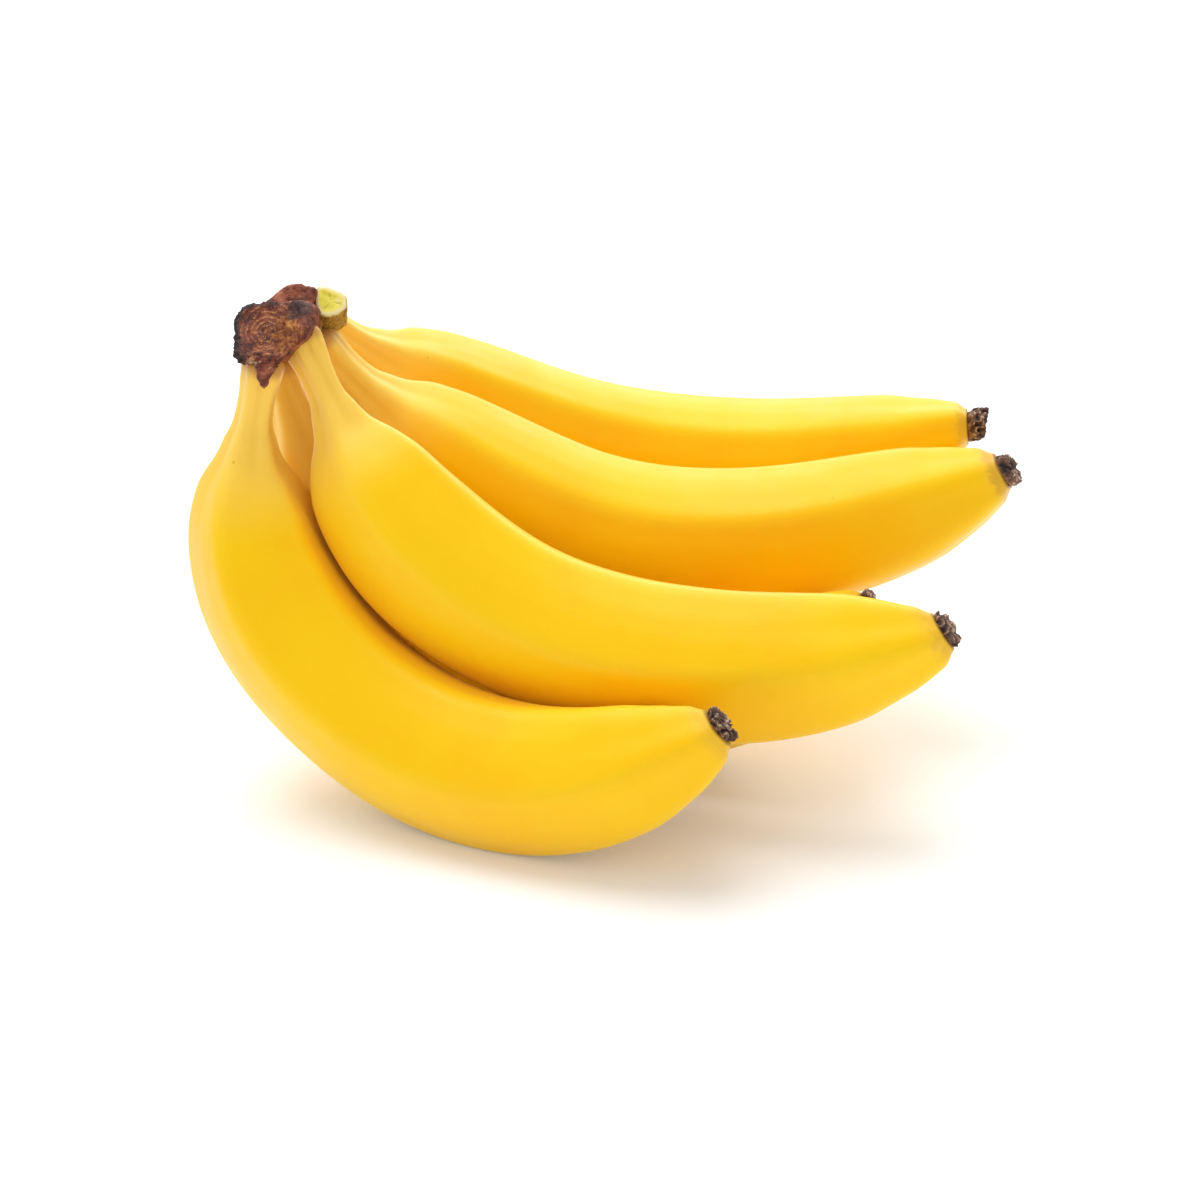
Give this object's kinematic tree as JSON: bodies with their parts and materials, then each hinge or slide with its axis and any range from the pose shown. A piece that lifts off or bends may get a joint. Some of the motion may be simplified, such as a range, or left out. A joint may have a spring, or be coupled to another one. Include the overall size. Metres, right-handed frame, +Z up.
{
  "type": "bunch of bananas",
  "caption": "Bunch of ripe yellow bananas joined at a dried brown crown, lying on its bellies with the tips raised.",
  "frame": {"origin": "on the surface that the bunch rests on, under the middle of its bounding box", "axes": "+X from the crown towards the tips, along the bunch; +Y from the front finger to the rear one; +Z up"},
  "size_m": [0.2034, 0.1515, 0.1202],
  "materials": {
    "peel": "waxy satin",
    "dried_blossom": "rough matte",
    "dried_crown": "rough matte",
    "fresh_cut": "moist satin"
  },
  "bodies": {
    "root": {"finger_1": "peel", "finger_2": "peel", "finger_3": "peel", "finger_4": "peel", "finger_5": "peel", "blossom_end_1": "dried_blossom", "blossom_end_2": "dried_blossom", "blossom_end_3": "dried_blossom", "blossom_end_4": "dried_blossom", "blossom_end_5": "dried_blossom", "crown": "dried_crown", "cut_stub": "fresh_cut"}
  },
  "joints": []
}
